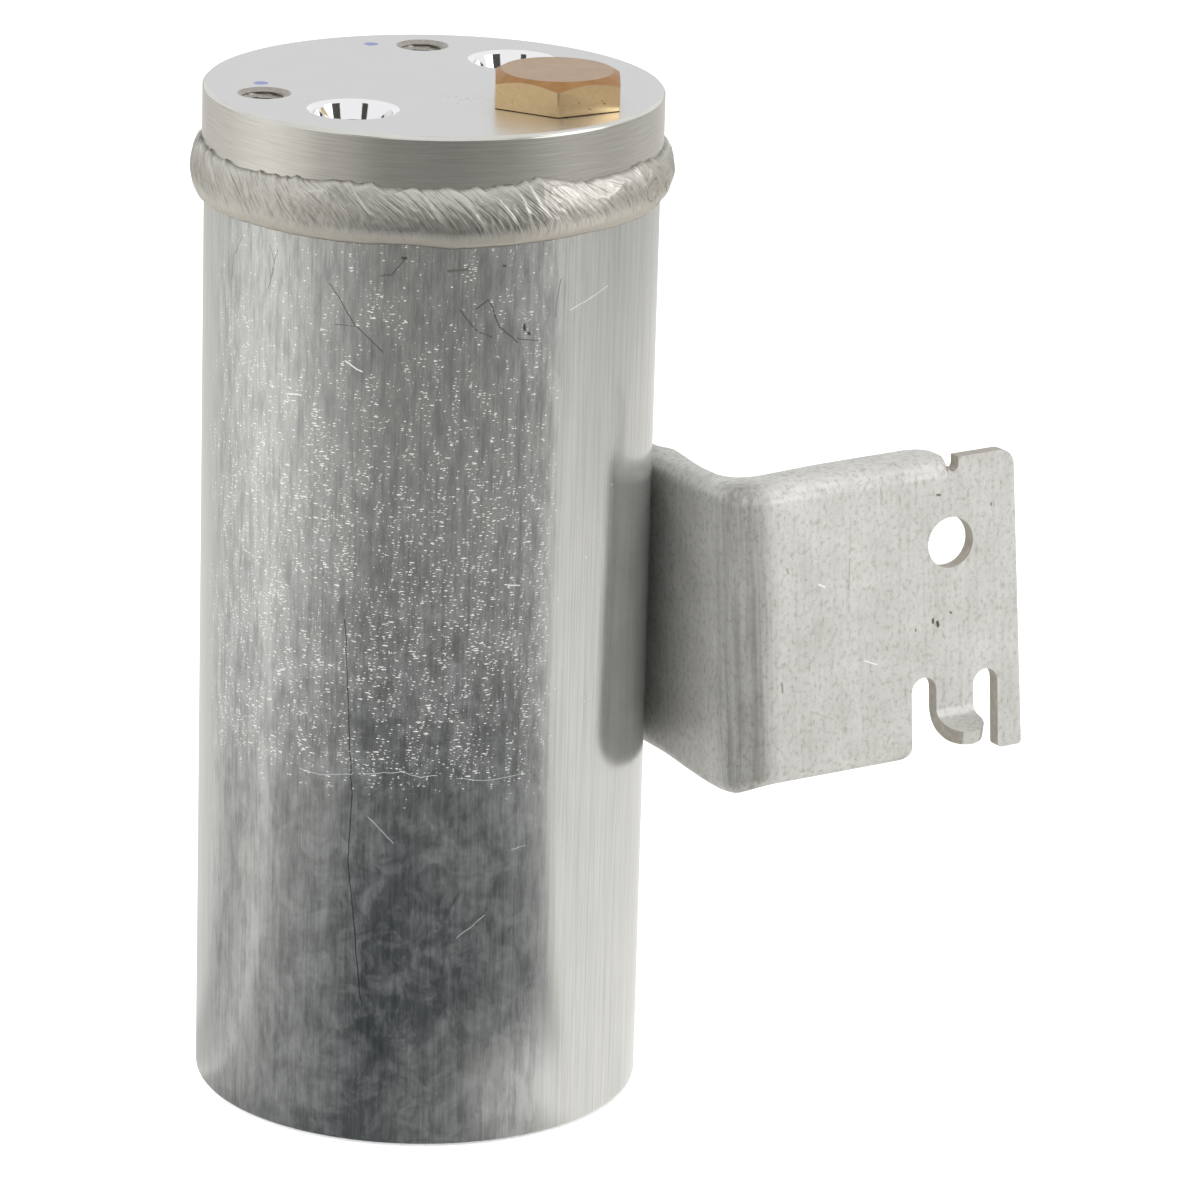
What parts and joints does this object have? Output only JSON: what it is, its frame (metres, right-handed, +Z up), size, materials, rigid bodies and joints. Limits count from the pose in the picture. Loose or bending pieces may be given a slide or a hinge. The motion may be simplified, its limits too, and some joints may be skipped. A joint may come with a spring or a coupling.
{
  "type": "filter drier",
  "caption": "Cylindrical welded aluminium receiver drier with ported end head, brass hex plug and pressed side bracket with a bent tongue.",
  "frame": {"origin": "centre of the can's flat bottom", "axes": "+Z up along the can's axis to the head, +X to the bracket's side, the bracket's face looking towards -Y"},
  "size_m": [0.1136, 0.0653, 0.1418],
  "materials": {
    "can": "drawn, satin, scuffed",
    "head": "turned, fine satin",
    "weld": "rippled arc weld, as laid",
    "bracket": "pressed sheet, matt",
    "plug": "machined, pale gold",
    "seal": "matt black",
    "felt": "needled felt",
    "desiccant": "packed beads",
    "steel": "zinc plated",
    "tube": "drawn"
  },
  "bodies": {
    "root": {"can_body": "can", "head": "head", "head_weld": "weld", "hex_plug": "plug", "plug_seal": "seal", "bracket": "bracket", "bracket_weld_upper": "weld", "bracket_weld_lower": "weld", "bracket_weld_end": "weld", "plate_stand": "steel", "lower_plate": "steel", "lower_pad": "felt", "desiccant_bed": "desiccant", "upper_pad": "felt", "upper_plate": "steel", "spring_seat": "steel", "spring": "steel", "pickup_tube": "tube", "tube_strainer": "steel"}
  },
  "joints": []
}
